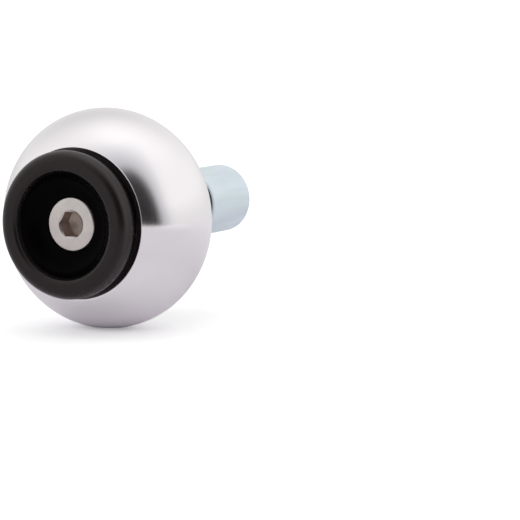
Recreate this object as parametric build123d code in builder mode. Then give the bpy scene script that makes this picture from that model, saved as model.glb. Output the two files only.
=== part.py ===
from build123d import *
from math import radians, tan
import os

# A weight for the end of a motorbike handlebar. A crowned aluminium ball carries a dished black cap in
# its front. Behind the ball a short spigot, a rubber sleeve and a steel nut enter the bore of the bar. One
# long cap screw runs through them all, its head sunk in the floor of the dish: tightened, it draws the nut
# forward, and the squeezed sleeve swells and grips the bar. The axis lies along Y, the cap faces -Y, and
# y = 0 is the seat on the bar's end. Lengths are in millimetres.

# Ball
ball_diameter = 54.2
ball_length = 28.9
front_land = 0.3
front_edge_radius = 0.9
rear_edge_radius = 0.5
recess_corner_radius = 0.5
spigot_length = 2.0

# End cap, let into the front of the ball
cap_diameter = 36.0
cap_clearance = 0.1
cap_stand_out = 6.4
cap_lip_radius = 2.6
cap_groove_depth = 1.0
cap_flange_overhang = 0.3
cap_flange_drop = 0.5
cap_back_chamfer = 0.8
cap_web = 2.5
dish_mouth_diameter = 26.5
dish_mouth_radius = 1.2
dish_depth = 4.7
dish_floor_land = 0.5

# M8 cap screw with a hexagon socket
shank_diameter = 8.0
screw_clearance = 0.5
thread_reach = 14.5
thread_lead = 0.8
thread_clearance = 0.04
head_diameter = 13.2
head_height = 8.0
head_edge_radius = 0.5
head_proud = 0.3
head_clearance = 0.2
socket_across_flats = 6.0
socket_depth = 4.0
socket_mouth_diameter = 7.0
drill_point_angle = 120.0

# Expander: the rubber sleeve and the nut that enter the bar, as thick as the spigot
plug_diameter = 17.3
sleeve_length = 20.6
nut_length = 19.9
nut_chamfer = 0.8

# Places along the axis, and the sizes that follow from the fits
ball_front = -ball_length
flange_front = ball_front + cap_flange_drop
cap_front = ball_front - cap_stand_out
rim_widest = cap_front + cap_lip_radius
dish_floor = cap_front + dish_depth
head_face = dish_floor - head_proud
head_seat = head_face + head_height
recess_floor = head_seat + cap_web
nut_front = spigot_length + sleeve_length
screw_end = nut_front + thread_reach

ball_radius = ball_diameter / 2
cap_radius = cap_diameter / 2
flange_radius = cap_radius + cap_flange_overhang
recess_radius = flange_radius + cap_clearance
face_radius = recess_radius + front_land
lip_start_radius = cap_radius - cap_lip_radius
groove_radius = cap_radius - cap_groove_depth
mouth_radius = dish_mouth_diameter / 2
plug_radius = plug_diameter / 2
shank_radius = shank_diameter / 2
hole_radius = shank_radius + screw_clearance
nut_bore_radius = shank_radius + thread_clearance
head_radius = head_diameter / 2
head_bore_radius = head_radius + head_clearance
floor_radius = head_bore_radius + dish_floor_land
socket_radius = socket_across_flats / 2
socket_mouth_radius = socket_mouth_diameter / 2
point_slope = tan(radians(drill_point_angle / 2))


# Turned from bar: one arc crowns the outside between two equal flat faces, and the front face is bored
# out for the cap until little more than its rounded edge is left. The spigot behind centres it in the bar.
with BuildPart() as ball_body:
    with BuildSketch():
        with BuildLine():
            Polyline((0, spigot_length), (0, ball_front), (face_radius, ball_front))
            ThreePointArc((face_radius, ball_front), (ball_radius, ball_front / 2), (face_radius, 0))
            Polyline((face_radius, 0), (plug_radius, 0), (plug_radius, spigot_length), (0, spigot_length))
        make_face()
    revolve(axis=Axis.Y)
    rims = ball_body.edges().filter_by(GeomType.CIRCLE).group_by(Axis.Y)
    fillet(rims[0], front_edge_radius)
    fillet(rims[-2].sort_by(SortBy.RADIUS)[-1], rear_edge_radius)
    with Locations(Plane.XZ.offset(-ball_front)):
        CounterBoreHole(hole_radius, recess_radius, recess_floor - ball_front)
    bored_rims = ball_body.edges(Select.LAST).filter_by(GeomType.CIRCLE).group_by(Axis.Y)
    fillet(bored_rims[1].sort_by(SortBy.RADIUS)[-1], recess_corner_radius)
ball_body.part.label = "ball_body"


# Black cap: a rim with a rounded lip, which curves in behind its widest circle to a groove. The flange
# behind the groove centres the cap in the ball's recess. Inside the rim is a bowl, and in the bowl's floor
# a counterbore for the screw's head. The web under the head is what the screw clamps.
with BuildPart() as end_cap:
    with BuildSketch():
        with BuildLine():
            Polyline(
                (floor_radius, dish_floor),
                (0, dish_floor),
                (0, recess_floor),
                (flange_radius, recess_floor),
                (flange_radius, flange_front),
                (groove_radius, flange_front),
                (groove_radius, ball_front),
            )
            TangentArc((cap_radius, rim_widest), (groove_radius, ball_front), tangent=(0, 1))
            TangentArc((lip_start_radius, cap_front), (cap_radius, rim_widest), tangent=(1, 0))
            Line((lip_start_radius, cap_front), (mouth_radius, cap_front))
            TangentArc((floor_radius, dish_floor), (mouth_radius, cap_front), tangent=(1, 0))
        make_face()
    revolve(axis=Axis.Y)
    rims = end_cap.edges().filter_by(GeomType.CIRCLE)
    front_rims = rims.group_by(Axis.Y)[0].sort_by(SortBy.RADIUS)
    back_rims = rims.group_by(Axis.Y)[-1].sort_by(SortBy.RADIUS)
    fillet(front_rims[0], dish_mouth_radius)
    chamfer(back_rims[-1], cap_back_chamfer)
    with Locations(Plane.XZ.offset(-dish_floor)):
        CounterBoreHole(hole_radius, head_bore_radius, head_seat - dish_floor)
end_cap.part.label = "end_cap"


# Screw: a round head with a rounded front edge. Its hexagon socket has a coned mouth and ends in a drill
# point.
with BuildPart() as clamp_screw:
    with BuildSketch():
        with BuildLine():
            Polyline(
                (0, head_face),
                (head_radius, head_face),
                (head_radius, head_seat),
                (shank_radius, head_seat),
                (shank_radius, screw_end),
                (0, screw_end),
                close=True,
            )
        make_face()
    revolve(axis=Axis.Y)
    fillet(clamp_screw.edges().filter_by(GeomType.CIRCLE).sort_by(Axis.Y)[0], head_edge_radius)
    chamfer(clamp_screw.edges().filter_by(GeomType.CIRCLE).sort_by(Axis.Y)[-1], thread_lead)
    with BuildSketch(Plane.ZX.offset(head_face)):
        RegularPolygon(socket_radius, 6, major_radius=False, rotation=30)
    extrude(amount=socket_depth, mode=Mode.SUBTRACT)
    cone_base = (Align.CENTER, Align.CENTER, Align.MIN)
    with Locations(Plane.ZX.offset(head_face)):
        Cone(socket_mouth_radius, 0, socket_mouth_radius / point_slope, align=cone_base, mode=Mode.SUBTRACT)
    with Locations(Plane.ZX.offset(head_face + socket_depth)):
        Cone(socket_radius, 0, socket_radius / point_slope, align=cone_base, mode=Mode.SUBTRACT)
clamp_screw.part.label = "clamp_screw"


# Rubber sleeve, cut square from tube.
with BuildPart() as expander_sleeve:
    with BuildSketch(Plane.ZX.offset(spigot_length)):
        Circle(plug_radius)
        Circle(hole_radius, mode=Mode.SUBTRACT)
    extrude(amount=sleeve_length)
expander_sleeve.part.label = "expander_sleeve"


# Steel nut, tapped right through.
with BuildPart() as clamp_nut:
    with BuildSketch(Plane.ZX.offset(nut_front)):
        Circle(plug_radius)
        Circle(nut_bore_radius, mode=Mode.SUBTRACT)
    extrude(amount=nut_length)
    chamfer(clamp_nut.edges().filter_by(GeomType.CIRCLE).group_by(SortBy.RADIUS)[-1], nut_chamfer)
    chamfer(clamp_nut.edges().filter_by(GeomType.CIRCLE).group_by(SortBy.RADIUS)[0], thread_lead)
clamp_nut.part.label = "clamp_nut"


os.makedirs("parts", exist_ok=True)
for piece in (ball_body, end_cap, clamp_screw, expander_sleeve, clamp_nut):
    export_step(piece.part, f"parts/{piece.part.label}.step")
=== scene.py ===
import math

import bmesh
import bpy
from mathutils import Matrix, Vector


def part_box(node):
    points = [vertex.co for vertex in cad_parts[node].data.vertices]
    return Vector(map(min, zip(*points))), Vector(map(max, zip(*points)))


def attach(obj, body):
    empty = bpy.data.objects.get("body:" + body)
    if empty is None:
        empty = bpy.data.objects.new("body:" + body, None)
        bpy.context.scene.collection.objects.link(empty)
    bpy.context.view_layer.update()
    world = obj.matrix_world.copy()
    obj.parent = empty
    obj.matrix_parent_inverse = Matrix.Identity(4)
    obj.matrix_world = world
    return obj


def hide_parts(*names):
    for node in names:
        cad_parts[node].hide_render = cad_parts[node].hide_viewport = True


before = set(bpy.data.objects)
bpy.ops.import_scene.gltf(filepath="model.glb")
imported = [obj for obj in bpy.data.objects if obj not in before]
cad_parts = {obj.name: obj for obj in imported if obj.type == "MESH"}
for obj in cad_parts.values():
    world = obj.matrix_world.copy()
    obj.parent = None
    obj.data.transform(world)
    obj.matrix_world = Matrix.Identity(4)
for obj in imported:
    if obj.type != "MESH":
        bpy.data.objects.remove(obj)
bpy.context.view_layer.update()        # metres, the axis along Y, the cap towards -Y, y = 0 at the seat on the bar
scene = bpy.context.scene
scene.view_settings.view_transform = "Standard"
print("frame loaded:", ", ".join(sorted(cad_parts)))

# Every piece is turned: its outline is a wire of (radius, along) points in the XY plane, spun about Y
roundSegments = 192
mergeDistance = 1e-6
sharpAngle = math.radians(30)


def startOutline(radius, along):
    bm = bmesh.new()
    return bm, bm.verts.new((radius, along, 0))


def lineTo(bm, last, radius, along, steps=1):
    start, end = last.co.copy(), Vector((radius, along, 0))
    for step in range(1, steps + 1):
        point = bm.verts.new(start.lerp(end, step / steps))
        bm.edges.new((last, point))
        last = point
    return last


def arcTo(bm, last, centre, sweep, steps):
    made = bmesh.ops.spin(bm, geom=[last], cent=(*centre, 0), axis=(0, 0, 1), angle=sweep, steps=steps)
    return next(item for item in made["geom_last"] if isinstance(item, bmesh.types.BMVert))


# A straight run towards a corner, then a rounding of that size that leaves towards the point ahead
def cornerTo(bm, last, corner, ahead, size, steps=6):
    corner, ahead = Vector(corner), Vector(ahead)
    inward = (corner - last.co.xy).normalized()
    outward = (ahead - corner).normalized()
    turn = math.atan2(inward.cross(outward), inward.dot(outward))
    start = corner - inward * size * math.tan(abs(turn) / 2)
    centre = start + Vector((-inward.y, inward.x)) * math.copysign(size, turn)
    return arcTo(bm, lineTo(bm, last, *start), centre, turn, steps)


def turnOutline(bm, segments=roundSegments):
    bmesh.ops.spin(bm, geom=bm.verts[:] + bm.edges[:], cent=(0, 0, 0), axis=(0, 1, 0),
                   angle=2 * math.pi, steps=segments, use_merge=True)
    closeSeams(bm)


def closeSeams(bm):
    bmesh.ops.remove_doubles(bm, verts=bm.verts, dist=mergeDistance)
    bmesh.ops.recalc_face_normals(bm, faces=bm.faces)


# M8 coarse thread, right-handed. The screw and the nut read the same helix, so their flanks lie together.
thread = {"pitch": 0.00125, "depth": 0.00066, "crest": 0.125, "root": 0.75, "runOut": 0.0012,
          "ringsPerTurn": 12, "segments": 96}


def threadSteps(length):
    return round(length / thread["pitch"] * thread["ringsPerTurn"])


def cutThread(bm, radius, start, end):
    for vert in bm.verts:
        around = vert.co.xz
        if start < vert.co.y < end and abs(around.length - radius) < mergeDistance:
            turns = vert.co.y / thread["pitch"] - math.atan2(vert.co.x, vert.co.z) / (2 * math.pi)
            fromCrest = abs(turns % 1 - 0.5) * 2
            groove = (fromCrest - thread["crest"]) / (thread["root"] - thread["crest"])
            fade = min(vert.co.y - start, end - vert.co.y) / thread["runOut"]
            cut = thread["depth"] * min(max(groove, 0), 1) * min(fade, 1)
            around *= 1 - cut / radius
            vert.co.x, vert.co.z = around


def finishPiece(bm, name, node, *finishes):
    mesh = bpy.data.meshes.new(name)
    bm.to_mesh(mesh)
    bm.free()
    for finish in finishes:
        mesh.materials.append(finish)
    mesh.shade_smooth()
    mesh.set_sharp_from_angle(angle=sharpAngle)
    piece = bpy.data.objects.new(name, mesh)
    scene.collection.objects.link(piece)
    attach(piece, "root")
    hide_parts(node)
    print(f"{name}: {len(mesh.polygons)} faces, stands for {node}")


# Node helpers: a value that is a socket is linked, any other value is set on the input
def addNode(tree, kind, inputs=None, **settings):
    node = tree.nodes.new(kind)
    for key, value in settings.items():
        setattr(node, key, value)
    setInputs(tree, node, inputs or {})
    return node


def setInputs(tree, node, inputs):
    for key, value in inputs.items():
        if isinstance(value, bpy.types.NodeSocket):
            tree.links.new(value, node.inputs[key])
        else:
            node.inputs[key].default_value = value


def newFinish(name):
    finish = bpy.data.materials.new(name)
    finish.use_nodes = True
    tree = finish.node_tree
    return finish, tree, tree.nodes["Principled BSDF"]


def placeOn(tree):
    return addNode(tree, "ShaderNodeTexCoord").outputs["Object"]


def stretch(tree, place, factors):
    stretched = addNode(tree, "ShaderNodeVectorMath", {0: place, 1: factors}, operation="MULTIPLY")
    return stretched.outputs["Vector"]


# (radius, along, 0) of a point: a noise read there runs round the axis as tool lines do
def turnedPlace(tree):
    place = placeOn(tree)
    across = stretch(tree, place, (1, 0, 1))
    radius = addNode(tree, "ShaderNodeVectorMath", {0: across}, operation="LENGTH")
    along = addNode(tree, "ShaderNodeSeparateXYZ", {0: place})
    joined = addNode(tree, "ShaderNodeCombineXYZ", {"X": radius.outputs["Value"], "Y": along.outputs["Y"]})
    return joined.outputs["Vector"]


def noiseAt(tree, place, scale, detail=3.0, roughness=0.55):
    noise = addNode(tree, "ShaderNodeTexNoise",
                    {"Vector": place, "Scale": scale, "Detail": detail, "Roughness": roughness})
    return noise.outputs["Fac"]


# Brings a value from one range to another and holds it there; most noise lies between 0.3 and 0.7
def spread(tree, value, low, high, fromLow=0.3, fromHigh=0.7):
    ranged = addNode(tree, "ShaderNodeMapRange", {"Value": value, "From Min": fromLow, "From Max": fromHigh,
                                                  "To Min": low, "To Max": high})
    return ranged.outputs["Result"]


def blendColours(tree, value, first, second):
    first, second = [end if isinstance(end, bpy.types.NodeSocket) else (*end, 1) for end in (first, second)]
    mixed = addNode(tree, "ShaderNodeMix", {"Factor": value, "A": first, "B": second}, data_type="RGBA")
    return mixed.outputs["Result"]


def calculate(tree, operation, first, second=0.0):
    return addNode(tree, "ShaderNodeMath", {0: first, 1: second}, operation=operation).outputs[0]


def facing(tree, direction, way):
    turned = addNode(tree, "ShaderNodeVectorMath", {0: direction, 1: way}, operation="DOT_PRODUCT")
    return turned.outputs["Value"]


# Colours that go by a distance, each at its own place between 0 and the reach
def tonesBy(tree, distance, reach, tones):
    ramp = addNode(tree, "ShaderNodeValToRGB", {"Fac": spread(tree, distance, 0, 1, 0, reach)})
    stops = ramp.color_ramp.elements
    for place, colour in tones:
        stops.new(place / reach).color = (*colour, 1)
    stops.remove(stops[0])       # the black and white ends of a new ramp
    stops.remove(stops[-1])
    return ramp.outputs["Color"]


def bumpFrom(tree, height, strength, distance):
    bump = addNode(tree, "ShaderNodeBump", {"Height": height, "Strength": strength, "Distance": distance})
    return bump.outputs["Normal"]


# Turned and polished aluminium: blurred across the tool lines, clear along them
aluminium = {"dull": (0.88, 0.848, 0.864), "bright": (0.91, 0.882, 0.896), "cloudScale": 65,
             "lineScale": 4800, "lineBump": 0.2, "lineDepth": 0.000002, "roughness": (0.12, 0.18),
             "anisotropy": 0.6, "anisotropyTurn": 0.25}


def makeAluminium():
    finish, tree, shader = newFinish("turnedAluminium")
    lines = noiseAt(tree, turnedPlace(tree), aluminium["lineScale"], detail=2)
    clouds = noiseAt(tree, placeOn(tree), aluminium["cloudScale"])
    tangent = addNode(tree, "ShaderNodeTangent", direction_type="RADIAL", axis="Y")
    setInputs(tree, shader, {
        "Base Color": blendColours(tree, clouds, aluminium["dull"], aluminium["bright"]),
        "Metallic": 1.0,
        "Roughness": spread(tree, lines, *aluminium["roughness"]),
        "Anisotropic": aluminium["anisotropy"],
        "Anisotropic Rotation": aluminium["anisotropyTurn"],
        "Tangent": tangent.outputs["Tangent"],
        "Normal": bumpFrom(tree, lines, aluminium["lineBump"], aluminium["lineDepth"]),
    })
    return finish


# Screw steel: a bright turned head, and a dull brownish socket that the turning doesn't reach
screwSteel = {"dull": (0.575, 0.533, 0.507), "bright": (0.65, 0.606, 0.578), "cloudScale": 400,
              "lineScale": 8300, "lineBump": 0.25, "lineDepth": 0.000003, "roughness": (0.26, 0.38)}
socketSteel = {"dull": (0.50, 0.415, 0.36), "bright": (0.635, 0.545, 0.485), "cloudScale": 520,
               "lineScale": 8300, "lineBump": 0.25, "lineDepth": 0.000004, "roughness": (0.48, 0.62)}


def makeSteel(name, steel):
    finish, tree, shader = newFinish(name)
    lines = noiseAt(tree, turnedPlace(tree), steel["lineScale"], detail=2)
    clouds = noiseAt(tree, placeOn(tree), steel["cloudScale"])
    setInputs(tree, shader, {
        "Base Color": blendColours(tree, spread(tree, clouds, 0, 1), steel["dull"], steel["bright"]),
        "Metallic": 1.0,
        "Roughness": spread(tree, lines, *steel["roughness"]),
        "Normal": bumpFrom(tree, lines, steel["lineBump"], steel["lineDepth"]),
    })
    return finish


# Bright zinc plate, with the drift from green to lilac that its film shows and faint streaks along the axis
zincPlate = {"green": (0.74, 0.835, 0.845), "lilac": (0.785, 0.83, 0.915), "cloudScale": 85,
             "cloudRange": (0.38, 0.62), "streakScale": 300, "streakStretch": (1, 0.15, 1),
             "streak": (0.95, 1.05), "grainScale": 2400, "grainBump": 0.2, "grainDepth": 0.000005,
             "roughness": (0.56, 0.66)}


def makeZincPlate():
    finish, tree, shader = newFinish("zincPlate")
    place = placeOn(tree)
    clouds = noiseAt(tree, place, zincPlate["cloudScale"], detail=4)
    drift = spread(tree, clouds, 0, 1, *zincPlate["cloudRange"])
    film = blendColours(tree, drift, zincPlate["green"], zincPlate["lilac"])
    stretched = stretch(tree, place, zincPlate["streakStretch"])
    streaks = spread(tree, noiseAt(tree, stretched, zincPlate["streakScale"]), *zincPlate["streak"])
    streaked = addNode(tree, "ShaderNodeVectorMath", {0: film, "Scale": streaks}, operation="SCALE")
    grain = noiseAt(tree, place, zincPlate["grainScale"])
    setInputs(tree, shader, {
        "Base Color": streaked.outputs["Vector"],
        "Metallic": 1.0,
        "Roughness": spread(tree, grain, *zincPlate["roughness"]),
        "Normal": bumpFrom(tree, grain, zincPlate["grainBump"], zincPlate["grainDepth"]),
    })
    return finish


# Matt black rubber
rubber = {"low": (0.010, 0.010, 0.011), "high": (0.020, 0.020, 0.021), "cloudScale": 220,
          "grainScale": 2200, "grainBump": 0.25, "grainDepth": 0.00002, "roughness": (0.62, 0.80),
          "specular": 0.3}


def makeRubber():
    finish, tree, shader = newFinish("blackRubber")
    place = placeOn(tree)
    clouds = noiseAt(tree, place, rubber["cloudScale"])
    grain = noiseAt(tree, place, rubber["grainScale"], detail=2)
    setInputs(tree, shader, {
        "Base Color": blendColours(tree, clouds, rubber["low"], rubber["high"]),
        "Roughness": spread(tree, grain, *rubber["roughness"]),
        "Specular IOR Level": rubber["specular"],
        "Normal": bumpFrom(tree, grain, rubber["grainBump"], rubber["grainDepth"]),
    })
    return finish


turnedAluminium = makeAluminium()
headSteel = makeSteel("headSteel", screwSteel)
dullSteel = makeSteel("dullSteel", socketSteel)
brightZinc = makeZincPlate()
blackRubber = makeRubber()
print("finishes made")

# Boxes of the solids that the pieces stand for
ballLow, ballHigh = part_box("ball_body")
capLow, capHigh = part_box("end_cap")
screwLow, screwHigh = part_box("clamp_screw")
sleeveLow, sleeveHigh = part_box("expander_sleeve")
nutLow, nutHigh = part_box("clamp_nut")
holeRadius = 0.0045      # the hole for the screw, through ball, cap and sleeve

# Crowned ball with the cap's recess in front and the spigot behind
ball = {"recessRadius": 0.0184, "land": 0.0003, "recessCorner": 0.0005, "frontEdge": 0.0009,
        "seatEdge": 0.0005, "edgeBreak": 0.00002, "breakSteps": 4, "seatEdgeSteps": 8, "crownSteps": 72,
        "frontEdgeSteps": 10}


def makeBall():
    front, seat, spigotEnd = ballLow.y, 0.0, ballHigh.y
    spigotRadius = sleeveHigh.x
    recessRadius, recessFloor = ball["recessRadius"], capHigh.y
    faceRadius = recessRadius + ball["land"]
    half = (seat - front) / 2
    rise = ballHigh.x - faceRadius
    crownRadius = (half ** 2 + rise ** 2) / (2 * rise)
    crownCentre = Vector((ballHigh.x - crownRadius, front + half))
    breakSize, breakSteps = ball["edgeBreak"], ball["breakSteps"]

    # Where a rounded edge of that size touches the crown, as an angle from the crown's widest circle
    def edgeTouch(size):
        across = math.sqrt((crownRadius - size) ** 2 - (half - size) ** 2)
        return math.atan2(half - size, across), crownCentre.x + across

    seatTouch, seatEdgeRadius = edgeTouch(ball["seatEdge"])
    frontTouch, frontEdgeRadius = edgeTouch(ball["frontEdge"])
    seatCentre = (seatEdgeRadius, seat - ball["seatEdge"])
    frontCentre = (frontEdgeRadius, front + ball["frontEdge"])

    bm, last = startOutline(holeRadius, spigotEnd)
    first = last
    last = cornerTo(bm, last, (spigotRadius, spigotEnd), (spigotRadius, seat), breakSize, breakSteps)
    last = lineTo(bm, last, spigotRadius, seat)
    last = lineTo(bm, last, seatEdgeRadius, seat)
    last = arcTo(bm, last, seatCentre, seatTouch - math.pi / 2, ball["seatEdgeSteps"])
    last = arcTo(bm, last, crownCentre, -seatTouch - frontTouch, ball["crownSteps"])
    last = arcTo(bm, last, frontCentre, frontTouch - math.pi / 2, ball["frontEdgeSteps"])
    last = cornerTo(bm, last, (recessRadius, front), (recessRadius, recessFloor), breakSize, breakSteps)
    last = cornerTo(bm, last, (recessRadius, recessFloor), (holeRadius, recessFloor), ball["recessCorner"])
    last = lineTo(bm, last, holeRadius, recessFloor)
    bm.edges.new((last, first))
    turnOutline(bm)
    finishPiece(bm, "crownedBall", "ball_body", turnedAluminium)


# Cap: a flange in the recess, a groove, a rim that swells to a rounded lip, a flat face, and a bowl whose
# floor has the counterbore for the screw's head
cap = {"rimRadius": 0.0180, "lip": 0.0026, "grooveRadius": 0.0170, "flangeDrop": 0.0005,
       "backChamfer": 0.0008, "mouthRadius": 0.01325, "mouthRound": 0.0012, "dishDepth": 0.0047,
       "floorRadius": 0.0073, "headBore": 0.0068, "web": 0.0025, "swellSteps": 10, "lipSteps": 16,
       "mouthSteps": 12, "bowlSteps": 20}
# Its satin shine goes by the distance behind the front face: strongest along the lip, almost none in the groove.
# The dish loses it over the mouth's rounding. Its colour goes most of the way to black in the groove, as painted
# shade, and in the dish.
capBlack = {"low": (0.0040, 0.0033, 0.0032), "high": (0.0062, 0.0052, 0.0050), "cloudScale": 150,
            "grainScale": 3500, "grainBump": 0.25, "grainDepth": 0.000002, "roughness": (0.25, 0.31),
            "shine": ((0.0, 0.33), (0.0002, 0.35), (0.0005, 0.37), (0.0007, 0.44), (0.0009, 0.52),
                      (0.0011, 0.59), (0.0014, 0.61), (0.0018, 0.47), (0.0022, 0.34), (0.0028, 0.17),
                      (0.0035, 0.09), (0.0042, 0.05), (0.0050, 0.05), (0.0060, 0.02)),
            "shineTint": (1.0, 0.87, 0.88, 1),
            "dishRadius": (0.0138, 0.0142), "dishFade": (0.0002, 0.0017), "dishShine": 0.022,
            "grooveShadeDepths": (0.0040, 0.0060), "darkDishAndGrooveShadeColour": (0, 0, 0), "darkDishAndGrooveShadeShare": 0.82}


def makeCapBlack(front):
    finish, tree, shader = newFinish("satinBlack")
    place = placeOn(tree)
    clouds = noiseAt(tree, place, capBlack["cloudScale"])
    grain = noiseAt(tree, place, capBlack["grainScale"], detail=2)
    turned = addNode(tree, "ShaderNodeSeparateXYZ", {0: turnedPlace(tree)}).outputs
    depth = calculate(tree, "SUBTRACT", turned["Y"], front)
    deepest = capBlack["shine"][-1][0]
    levels = [(along, (level, level, level)) for along, level in capBlack["shine"]]
    outside = tonesBy(tree, depth, deepest, levels)
    inDish = spread(tree, turned["X"], 1, 0, *capBlack["dishRadius"])
    inDish = calculate(tree, "MULTIPLY", inDish, spread(tree, depth, 0, 1, *capBlack["dishFade"]))
    lost = calculate(tree, "SUBTRACT", outside, capBlack["dishShine"])
    shine = calculate(tree, "SUBTRACT", outside, calculate(tree, "MULTIPLY", inDish, lost))
    paint = blendColours(tree, clouds, capBlack["low"], capBlack["high"])
    # Painted shade: the base colour goes most of the way to black in the groove between cap and ball; the dish is
    # darkened the same way
    paintedGrooveShade = spread(tree, depth, 0, 1, *capBlack["grooveShadeDepths"])
    darkDishAndGrooveShade = calculate(tree, "MAXIMUM", inDish, paintedGrooveShade)
    darkDishAndGrooveShade = calculate(tree, "MULTIPLY", darkDishAndGrooveShade, capBlack["darkDishAndGrooveShadeShare"])
    setInputs(tree, shader, {
        "Base Color": blendColours(tree, darkDishAndGrooveShade, paint, capBlack["darkDishAndGrooveShadeColour"]),
        "Roughness": spread(tree, grain, *capBlack["roughness"]),
        "Specular IOR Level": shine,
        "Specular Tint": capBlack["shineTint"],
        "Normal": bumpFrom(tree, grain, capBlack["grainBump"], capBlack["grainDepth"]),
    })
    return finish


def makeCap():
    front, back, flange = capLow.y, capHigh.y, capHigh.x
    rim, groove = cap["rimRadius"], cap["grooveRadius"]
    lip, chamfer = cap["lip"], cap["backChamfer"]
    flangeFront = ballLow.y + cap["flangeDrop"]
    mouthRound, headBore = cap["mouthRound"], cap["headBore"]
    floorRadius, floorAlong = cap["floorRadius"], front + cap["dishDepth"]
    headSeat = back - cap["web"]

    # The rim's back is an arc from the groove at the ball's face to the widest circle, where the lip begins
    widest = front + lip
    swell = rim - groove
    rimLength = ballLow.y - widest
    swellRadius = (swell ** 2 + rimLength ** 2) / (2 * swell)
    swellSweep = math.asin(rimLength / swellRadius)
    # The bowl's arc runs through the mouth and meets the floor along it
    acrossBowl = cap["mouthRadius"] - floorRadius
    bowlRadius = (acrossBowl ** 2 + cap["dishDepth"] ** 2) / (2 * cap["dishDepth"])
    bowlCentre = Vector((floorRadius, floorAlong - bowlRadius))
    # The mouth's rounding touches the flat face and that arc from inside the wall
    roundCentre = Vector((0, front + mouthRound))
    drop = roundCentre.y - bowlCentre.y
    roundCentre.x = bowlCentre.x + math.sqrt((bowlRadius + mouthRound) ** 2 - drop ** 2)
    toBowl = bowlCentre - roundCentre
    fromBowl = math.atan2(-toBowl.y, -toBowl.x)
    mouthSweep = (math.atan2(toBowl.y, toBowl.x) + math.pi / 2) % (2 * math.pi) - 2 * math.pi

    bm, last = startOutline(holeRadius, back)
    first = last
    last = lineTo(bm, last, flange - chamfer, back)
    last = lineTo(bm, last, flange, back - chamfer)
    last = lineTo(bm, last, flange, flangeFront)
    last = lineTo(bm, last, groove, flangeFront)
    last = lineTo(bm, last, groove, ballLow.y)
    last = arcTo(bm, last, (rim - swellRadius, widest), -swellSweep, cap["swellSteps"])
    last = arcTo(bm, last, (rim - lip, widest), -math.pi / 2, cap["lipSteps"])
    last = lineTo(bm, last, roundCentre.x, front)
    last = arcTo(bm, last, roundCentre, mouthSweep, cap["mouthSteps"])
    last = arcTo(bm, last, bowlCentre, math.pi / 2 - fromBowl, cap["bowlSteps"])
    last = lineTo(bm, last, headBore, floorAlong)
    last = lineTo(bm, last, headBore, headSeat)
    last = lineTo(bm, last, holeRadius, headSeat)
    bm.edges.new((last, first))
    turnOutline(bm)
    finishPiece(bm, "dishedCap", "end_cap", makeCapBlack(front))


# Cap screw with a hexagon socket, two of its corners to the sides
screw = {"shankRadius": 0.0040, "headHeight": 0.0080, "headEdge": 0.0005, "underHead": 0.0003,
         "underHeadSteps": 4, "socketMouth": 0.0035, "socketFlat": 0.0030, "socketDepth": 0.0040,
         "pointAngle": math.radians(120), "pointShare": 0.98, "lead": 0.0008, "threadLength": 0.028}


def hexRadius(place):
    angle = math.atan2(place.z, place.x) % (math.pi / 3)
    return screw["socketFlat"] / math.cos(angle - math.pi / 6)


def extrudeRing(bm, edges):
    made = bmesh.ops.extrude_edge_only(bm, edges=edges)["geom"]
    verts = [item for item in made if isinstance(item, bmesh.types.BMVert)]
    return verts, [item for item in made if isinstance(item, bmesh.types.BMEdge)]


def makeScrew():
    front, end, head = screwLow.y, screwHigh.y, screwHigh.x
    shank, mouth, lead = screw["shankRadius"], screw["socketMouth"], screw["lead"]
    headSeat = front + screw["headHeight"]
    threadStart = end - screw["threadLength"]
    slope = math.tan(screw["pointAngle"] / 2)
    floorAlong = front + screw["socketDepth"]

    bm, last = startOutline(mouth, front)
    last = cornerTo(bm, last, (head, front), (head, headSeat), screw["headEdge"])
    last = lineTo(bm, last, head, headSeat)
    last = cornerTo(bm, last, (shank, headSeat), (shank, end), screw["underHead"], screw["underHeadSteps"])
    last = lineTo(bm, last, shank, threadStart)
    last = lineTo(bm, last, shank, end - lead, threadSteps(screw["threadLength"] - lead))
    last = lineTo(bm, last, shank - lead, end)
    lineTo(bm, last, 0, end)
    turnOutline(bm, thread["segments"])
    cutThread(bm, shank, threadStart, end)

    # From the round mouth a cone runs in to the hexagon, which goes down to the drill point
    outside = set(bm.faces)
    ring = [edge for edge in bm.edges if edge.is_boundary]
    verts, ring = extrudeRing(bm, ring)
    for vert in verts:
        flat = hexRadius(vert.co)
        shrink = flat / mouth
        vert.co = (vert.co.x * shrink, front + (mouth - flat) / slope, vert.co.z * shrink)
    outside.update(bm.faces)
    verts, ring = extrudeRing(bm, ring)
    for vert in verts:
        vert.co.y = floorAlong
    verts, ring = extrudeRing(bm, ring)
    pointRadius = screw["socketFlat"] * screw["pointShare"]
    for vert in verts:
        shrink = pointRadius / hexRadius(vert.co)
        vert.co = (vert.co.x * shrink, floorAlong, vert.co.z * shrink)
    verts, ring = extrudeRing(bm, ring)
    bmesh.ops.pointmerge(bm, verts=verts, merge_co=(0, floorAlong + pointRadius / slope, 0))
    for face in bm.faces:
        face.material_index = 0 if face in outside else 1
    closeSeams(bm)
    finishPiece(bm, "capScrew", "clamp_screw", headSteel, dullSteel)


# Rubber sleeve, cut from tube
sleeve = {"edgeRound": 0.0003}


def makeSleeve():
    front, back, outside = sleeveLow.y, sleeveHigh.y, sleeveHigh.x
    edge = sleeve["edgeRound"]
    bm, last = startOutline(holeRadius, front)
    first = last
    last = cornerTo(bm, last, (outside, front), (outside, back), edge)
    last = cornerTo(bm, last, (outside, back), (holeRadius, back), edge)
    last = lineTo(bm, last, holeRadius, back)
    bm.edges.new((last, first))
    turnOutline(bm)
    finishPiece(bm, "rubberSleeve", "expander_sleeve", blackRubber)


# Plated nut, chamfered at both ends and tapped right through
nut = {"boreRadius": 0.00404, "chamfer": 0.0008, "lead": 0.0008, "edgeBreak": 0.0001, "breakSteps": 3}


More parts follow.
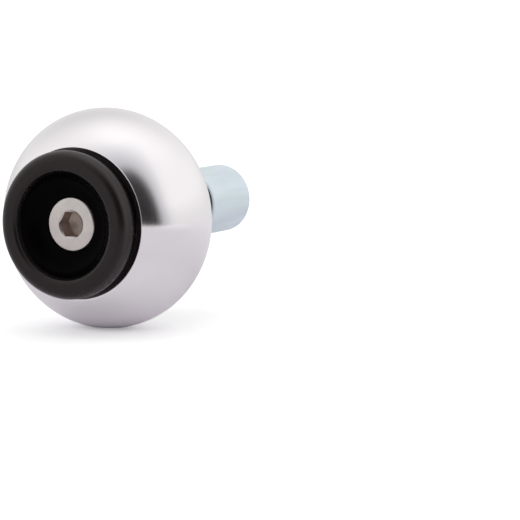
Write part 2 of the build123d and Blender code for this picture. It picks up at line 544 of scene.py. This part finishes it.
def makeNut():
    front, back, outside = nutLow.y, nutHigh.y, nutHigh.x
    bore, chamfer, lead = nut["boreRadius"], nut["chamfer"], nut["lead"]
    small, steps = nut["edgeBreak"], nut["breakSteps"]
    bm, last = startOutline(bore, back - lead)
    first = last
    last = lineTo(bm, last, bore, front + lead, threadSteps(back - front - 2 * lead))
    last = lineTo(bm, last, bore + lead, front)
    last = cornerTo(bm, last, (outside - chamfer, front), (outside, front + chamfer), small, steps)
    last = cornerTo(bm, last, (outside, front + chamfer), (outside, back - chamfer), small, steps)
    last = cornerTo(bm, last, (outside, back - chamfer), (outside - chamfer, back), small, steps)
    last = cornerTo(bm, last, (outside - chamfer, back), (bore + lead, back), small, steps)
    last = lineTo(bm, last, bore + lead, back)
    bm.edges.new((last, first))
    turnOutline(bm, thread["segments"])
    cutThread(bm, bore, front, back)
    finishPiece(bm, "platedNut", "clamp_nut", brightZinc)


makeBall()
makeCap()
makeScrew()
makeSleeve()
makeNut()


# Studio: a white floor, a grey table top that only the pieces mirror, and a white tent
def stageSheet(name, bm, height):
    mesh = bpy.data.meshes.new(name)
    bm.to_mesh(mesh)
    bm.free()
    sheet = bpy.data.objects.new(name, mesh)
    scene.collection.objects.link(sheet)
    sheet.location.z = height
    finish, tree, shader = newFinish(name)
    setInputs(tree, shader, {"Roughness": 1.0, "Specular IOR Level": 0.0})
    mesh.materials.append(finish)
    return sheet, tree, shader


# The floor's glow keeps the shadow on it pale
floor = {"half": 6.0, "colour": (0.98, 0.98, 0.98, 1), "glow": 0.25}


def makeFloor():
    bm = bmesh.new()
    bmesh.ops.create_grid(bm, x_segments=1, y_segments=1, size=floor["half"])
    sheet, tree, shader = stageSheet("floor", bm, ballLow.z)
    setInputs(tree, shader, {"Base Color": floor["colour"], "Emission Color": floor["colour"],
                             "Emission Strength": floor["glow"]})
    sheet.visible_glossy = False


# The table is palest just in front of the ball, which is painted light against the ball's shadow on it, and pale
# again far off and at the back
table = {"radius": 0.35, "segments": 128, "lift": 0.0001, "paintedLightSpot": (0, -0.026, 0),
         "tones": ((0.0, (0.923, 0.90, 0.95)), (0.015, (0.902, 0.88, 0.928)),
                   (0.030, (0.81, 0.79, 0.833)), (0.050, (0.728, 0.71, 0.749)),
                   (0.180, (0.715, 0.70, 0.73)), (0.35, (0.83, 0.815, 0.82))),
         "backWay": (0.3, 0.954, 0), "backReach": (0.02, 0.20), "backTone": (0.825, 0.81, 0.835)}


def makeTable():
    bm = bmesh.new()
    bmesh.ops.create_circle(bm, cap_ends=True, radius=table["radius"], segments=table["segments"])
    sheet, tree, shader = stageSheet("greyTable", bm, ballLow.z + table["lift"])
    place = placeOn(tree)
    out = addNode(tree, "ShaderNodeVectorMath", {0: place, 1: table["paintedLightSpot"]}, operation="DISTANCE")
    # Painted light: the tones are pale around the spot in front of the ball, where the ball's shadow falls on the
    # table
    tonesWithPaintedLight = tonesBy(tree, out.outputs["Value"], table["radius"], table["tones"])
    backward = spread(tree, facing(tree, place, table["backWay"]), 0, 1, *table["backReach"])
    setInputs(tree, shader, {"Base Color": blendColours(tree, backward, tonesWithPaintedLight, table["backTone"])})
    sheet.visible_camera = False
    sheet.visible_diffuse = False
    sheet.visible_shadow = False
    sheet.visible_transmission = False


# Tent: brightest overhead, darker low down and at the back left. An upright dark shape stands in its
# opening beside the camera; tones around it go by the distance from its middle, 1 at its edge.
tent = {"side": 1.0, "low": 0.85, "lowRise": 0.25, "zenith": 0.20, "zenithPower": 6, "dim": 0.25,
        "dimPower": 4, "dimWay": (-0.579, 0.579, 0.574), "floorLight": 1.0, "floorColour": (1, 1, 1)}
shape = {"azimuth": math.radians(31.6), "elevation": math.radians(-2), "lean": math.radians(17.4),
         "halfWidth": math.radians(27.3), "halfHeight": math.radians(43.6), "reach": 2.2,
         "tones": ((0.0, (0.015, 0.014, 0.014)), (0.72, (0.025, 0.024, 0.024)), (0.90, (0.09, 0.09, 0.092)),
                   (1.0, (0.29, 0.29, 0.295)), (1.10, (0.515, 0.52, 0.535)), (1.25, (0.64, 0.645, 0.665)),
                   (1.50, (0.79, 0.795, 0.81)), (1.75, (0.955, 0.955, 0.96)), (2.10, (1.0, 1.0, 1.0)))}


# The direction of an azimuth, counted from -Y towards +X, and an elevation
def wayTo(azimuth, elevation):
    level = math.cos(elevation)
    return Vector((math.sin(azimuth) * level, -math.cos(azimuth) * level, math.sin(elevation)))


def makeTent():
    world = bpy.data.worlds.new("whiteTent")
    world.use_nodes = True
    scene.world = world
    tree = world.node_tree
    direction = addNode(tree, "ShaderNodeTexCoord").outputs["Generated"]
    up = addNode(tree, "ShaderNodeSeparateXYZ", {0: direction}).outputs["Z"]
    tone = spread(tree, up, tent["low"], tent["side"], 0, tent["lowRise"])
    zenith = calculate(tree, "POWER", calculate(tree, "MAXIMUM", up), tent["zenithPower"])
    tone = calculate(tree, "ADD", tone, calculate(tree, "MULTIPLY", zenith, tent["zenith"]))
    behind = calculate(tree, "MAXIMUM", facing(tree, direction, tent["dimWay"]))
    behind = calculate(tree, "POWER", behind, tent["dimPower"])
    tone = calculate(tree, "SUBTRACT", tone, calculate(tree, "MULTIPLY", behind, tent["dim"]))

    azimuth, lean = shape["azimuth"], shape["lean"]
    middle = wayTo(azimuth, shape["elevation"])
    level = Vector((math.cos(azimuth), math.sin(azimuth), 0))
    upright = middle.cross(level)
    sideways = level * math.cos(lean) + upright * math.sin(lean)
    upwards = upright * math.cos(lean) - level * math.sin(lean)
    across = calculate(tree, "ARCSINE", facing(tree, direction, sideways))
    across = calculate(tree, "DIVIDE", across, shape["halfWidth"])
    along = calculate(tree, "ARCSINE", facing(tree, direction, upwards))
    along = calculate(tree, "DIVIDE", along, shape["halfHeight"])
    rear = calculate(tree, "MAXIMUM", facing(tree, direction, middle * -shape["reach"]))
    offset = addNode(tree, "ShaderNodeCombineXYZ", {"X": across, "Y": along, "Z": rear})
    away = addNode(tree, "ShaderNodeVectorMath", {0: offset.outputs["Vector"]}, operation="LENGTH")
    mirrored = tonesBy(tree, away.outputs["Value"], shape["reach"], shape["tones"])

    # The mirroring pieces see the tent, and the camera and the floor an even white
    path = addNode(tree, "ShaderNodeLightPath").outputs
    seen = calculate(tree, "MAXIMUM", path["Is Glossy Ray"], path["Is Transmission Ray"])
    setInputs(tree, tree.nodes["Background"], {
        "Color": blendColours(tree, seen, tent["floorColour"], mirrored),
        "Strength": spread(tree, seen, tent["floorLight"], tone, 0, 1),
    })


makeFloor()
makeTable()
makeTent()
print("studio set")

# Camera: the photograph's view, from where the middle of the ball stands in a 520 x 520 image
photo = {"size": 520, "focalPixels": 3000, "ballAcross": 107.1, "ballDown": 217.95}
view = {"azimuth": math.radians(29.0), "elevation": math.radians(7.0), "depth": 0.7354, "sensor": 36.0,
        "clipStart": 0.01}


def makeCamera():
    back = wayTo(view["azimuth"], view["elevation"])
    turned = (-back).to_track_quat("-Z", "Y")
    lens = bpy.data.cameras.new("camera")
    lens.sensor_width = view["sensor"]
    lens.lens = photo["focalPixels"] / photo["size"] * view["sensor"]
    lens.clip_start = view["clipStart"]
    camera = bpy.data.objects.new("camera", lens)
    scene.collection.objects.link(camera)
    camera.rotation_mode = "QUATERNION"
    camera.rotation_quaternion = turned
    perPixel = view["depth"] / photo["focalPixels"]
    inView = Vector(((photo["ballAcross"] - photo["size"] / 2) * perPixel,
                     (photo["size"] / 2 - photo["ballDown"]) * perPixel, -view["depth"]))
    ballMiddle = Vector((0, ballLow.y / 2, 0))
    camera.location = ballMiddle - turned @ inView
    scene.camera = camera
    print("camera at", [round(value, 4) for value in camera.location])


makeCamera()
